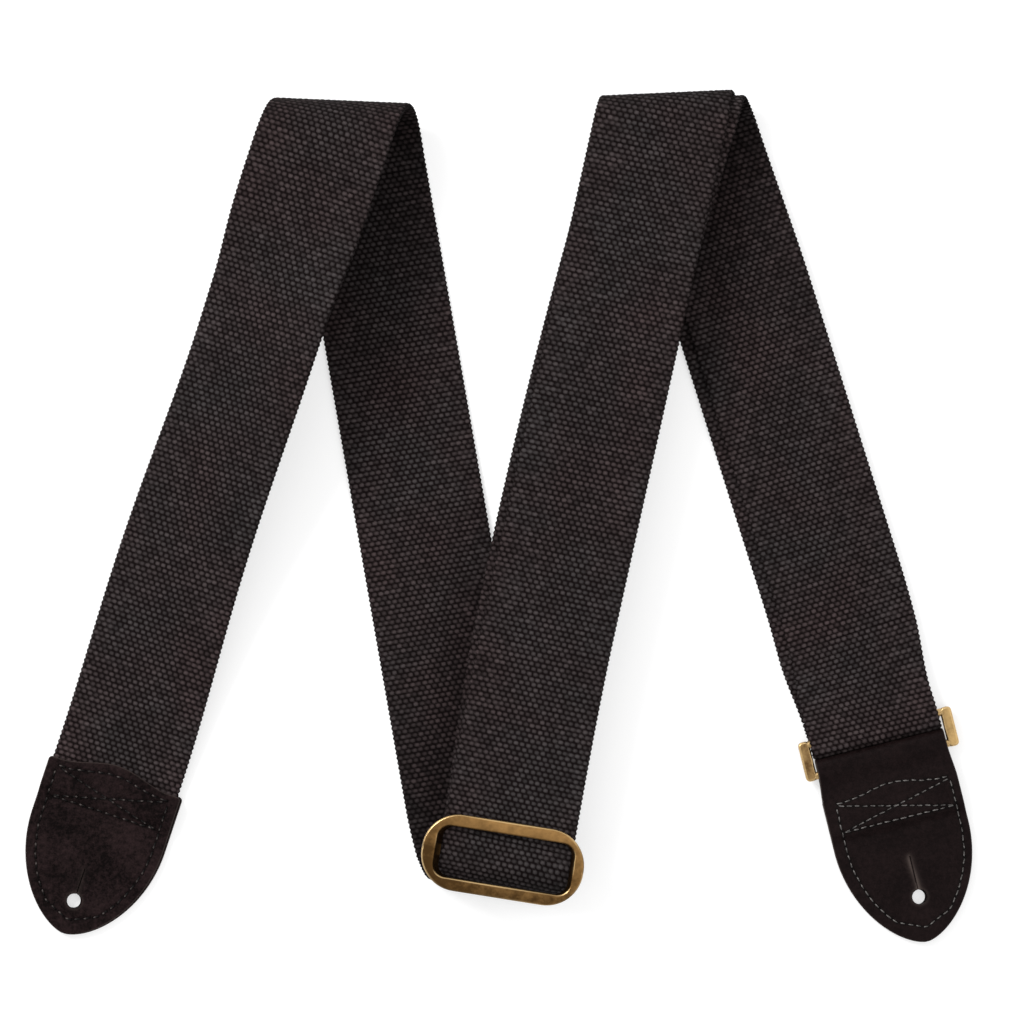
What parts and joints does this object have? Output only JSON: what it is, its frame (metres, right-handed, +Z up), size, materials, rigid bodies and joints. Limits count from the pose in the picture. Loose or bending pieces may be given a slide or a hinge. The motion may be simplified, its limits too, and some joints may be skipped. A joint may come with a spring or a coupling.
{
  "type": "guitar strap",
  "caption": "Adjustable woven webbing guitar strap with leather end tabs, an oval brass slider and a brass ring, laid flat in three folds.",
  "frame": {"origin": "centre of the base of the whole strap's box, as it lies folded on a flat surface", "axes": "+X across the folded strap from tab A to tab B, +Y from the tabs towards the two upper folds, +Z up from the surface"},
  "size_m": [0.367, 0.3298, 0.0392],
  "materials": {
    "webbing": "matt heavy plain-woven cotton webbing, charcoal with a brown cast",
    "leather": "matt near-black rough-out leather with fine nap",
    "antique_brass": "brushed antique brass, brighter on its edges",
    "black_thread": "waxed black sewing thread",
    "grey_thread": "waxed grey sewing thread"
  },
  "bodies": {
    "strap": {"left_fold": "webbing", "left_back_run": "webbing", "bottom_fold": "webbing", "middle_run": "webbing", "right_fold": "webbing", "right_run": "webbing", "ring_loop": "webbing", "tail_right_run": "webbing", "tail_right_fold": "webbing", "tail_middle_run": "webbing"},
    "front_end": {"left_front_run": "webbing", "tab_a_front_leather": "leather", "tab_a_back_leather": "leather", "tab_a_edge_thread": "black_thread", "tab_a_cross_thread": "black_thread"},
    "slider": {"slider": "antique_brass", "tail_loop": "webbing", "tail_stitching": "black_thread"},
    "ring": {"ring": "antique_brass"},
    "tab_b": {"tab_b_wrap_leather": "leather", "tab_b_cover_leather": "leather", "tab_b_edge_thread": "grey_thread", "tab_b_cross_thread": "grey_thread"}
  },
  "joints": [
    {"name": "left_fold_hinge", "type": "hinge", "parent": "strap", "child": "front_end", "pos_m": [-0.06137, 0.14255, 0.017], "axis": [-0.9973, 0.0735, 0], "range_deg": [0, 70], "deforming": ["left_fold"]},
    {"name": "slider_slide", "type": "slide", "parent": "strap", "child": "slider", "axis": [0.2062, 0.9785, 0], "range_m": [0, 0.2], "deforming": ["tail_middle_run"]},
    {"name": "ring_pivot", "type": "hinge", "parent": "strap", "child": "ring", "pos_m": [0.14559, -0.08211, 0.0038], "axis": [-0.9703, -0.2419, 0], "range_deg": [0, 80]},
    {"name": "tab_b_pivot", "type": "hinge", "parent": "ring", "child": "tab_b", "pos_m": [0.14857, -0.09405, 0.0038], "axis": [-0.9703, -0.2419, 0], "range_deg": [0, 90]}
  ]
}
